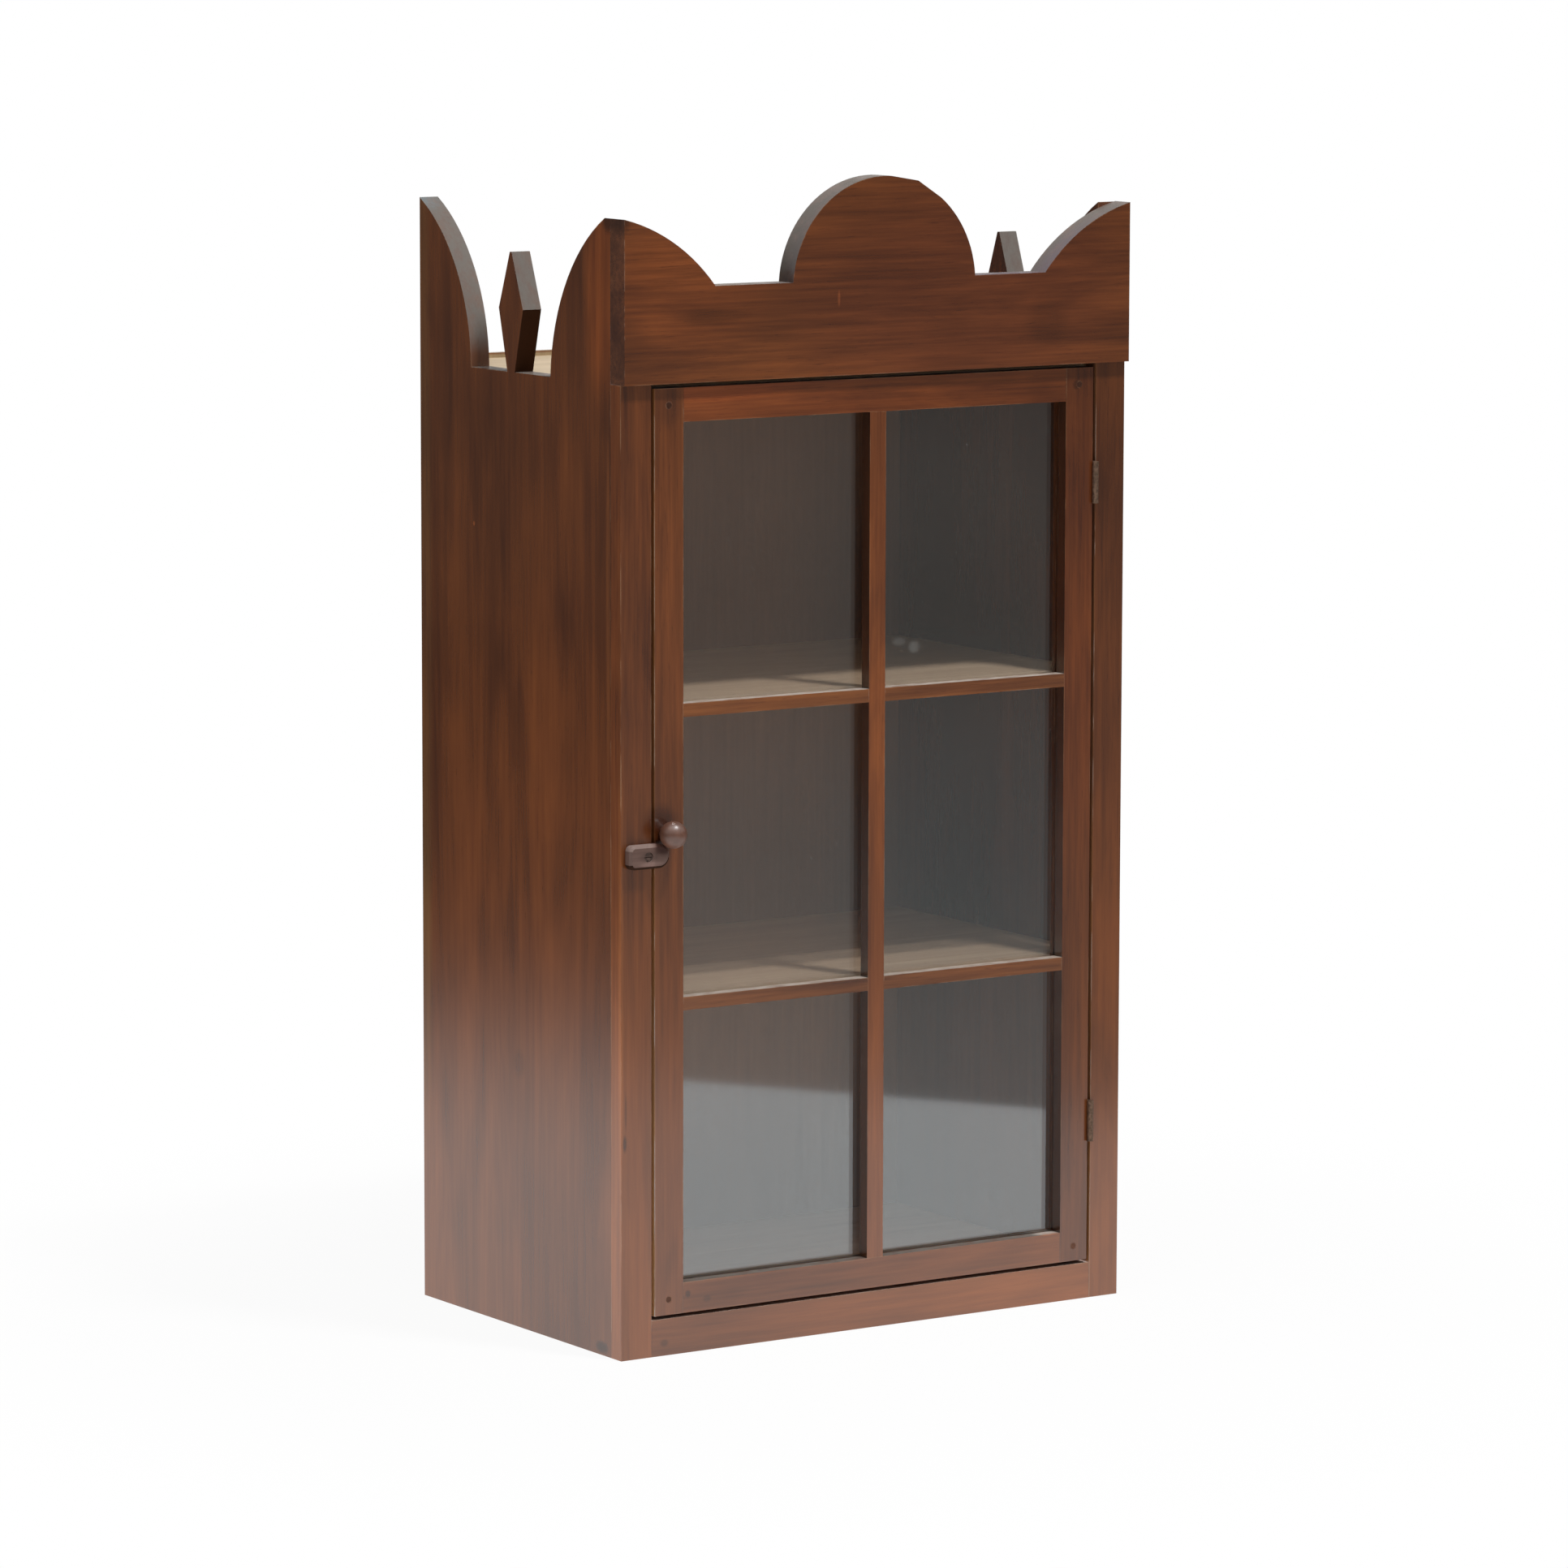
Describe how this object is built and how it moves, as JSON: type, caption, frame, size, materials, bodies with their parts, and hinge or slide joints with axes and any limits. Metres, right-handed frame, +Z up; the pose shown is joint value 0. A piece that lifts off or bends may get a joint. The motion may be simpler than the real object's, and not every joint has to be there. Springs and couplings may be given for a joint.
{
  "type": "thimble display case",
  "caption": "Small glazed wooden display case with shelves, a scrolled crest, horned sides, lozenge finials, a hinged divided glass door, a ball knob and a turn button.",
  "frame": {"origin": "on the ground, at the middle of the overall width and midway between the front of the knob and the back of the case", "axes": "+X to the right seen from the front, +Y towards the back, +Z up"},
  "size_m": [0.36, 0.2442, 0.6915],
  "materials": {
    "stained_wood": "dark mahogany stain under a satin varnish",
    "bare_wood": "bare, smooth",
    "pane_glass": "clear, slightly dusty",
    "hinge_brass": "dull",
    "screw_steel": "dark"
  },
  "bodies": {
    "case": {"left_side_panel": "stained_wood", "right_side_panel": "stained_wood", "top_board": "bare_wood", "bottom_board": "bare_wood", "back_panel": "bare_wood", "upper_shelf": "bare_wood", "lower_shelf": "bare_wood", "crest_board": "stained_wood", "left_frame_stile": "stained_wood", "right_frame_stile": "stained_wood", "frame_bottom_rail": "stained_wood", "upper_hinge_frame_leaf": "hinge_brass", "lower_hinge_frame_leaf": "hinge_brass", "upper_hinge_pin": "hinge_brass", "lower_hinge_pin": "hinge_brass", "turn_button_screw": "screw_steel"},
    "door": {"door_latch_stile": "stained_wood", "door_hinge_stile": "stained_wood", "door_top_rail": "stained_wood", "door_bottom_rail": "stained_wood", "door_vertical_muntin": "stained_wood", "door_upper_muntin": "stained_wood", "door_lower_muntin": "stained_wood", "door_joint_pegs": "stained_wood", "door_glass": "pane_glass", "bottom_glass_bead": "stained_wood", "top_glass_bead": "stained_wood", "left_glass_bead": "stained_wood", "right_glass_bead": "stained_wood", "door_knob": "stained_wood", "upper_hinge_door_leaf": "hinge_brass", "lower_hinge_door_leaf": "hinge_brass"},
    "turn_button": {"turn_button": "stained_wood"}
  },
  "joints": [
    {"name": "door_swing", "type": "hinge", "parent": "case", "child": "door", "pos_m": [0.1579, -0.10645, 0.3065], "axis": [0, 0, 1], "range_deg": [0, 170]},
    {"name": "turn_button_turn", "type": "hinge", "parent": "case", "child": "turn_button", "pos_m": [-0.1645, -0.10785, 0.2993], "axis": [0, 1, 0], "range_deg": [0, 90]}
  ]
}
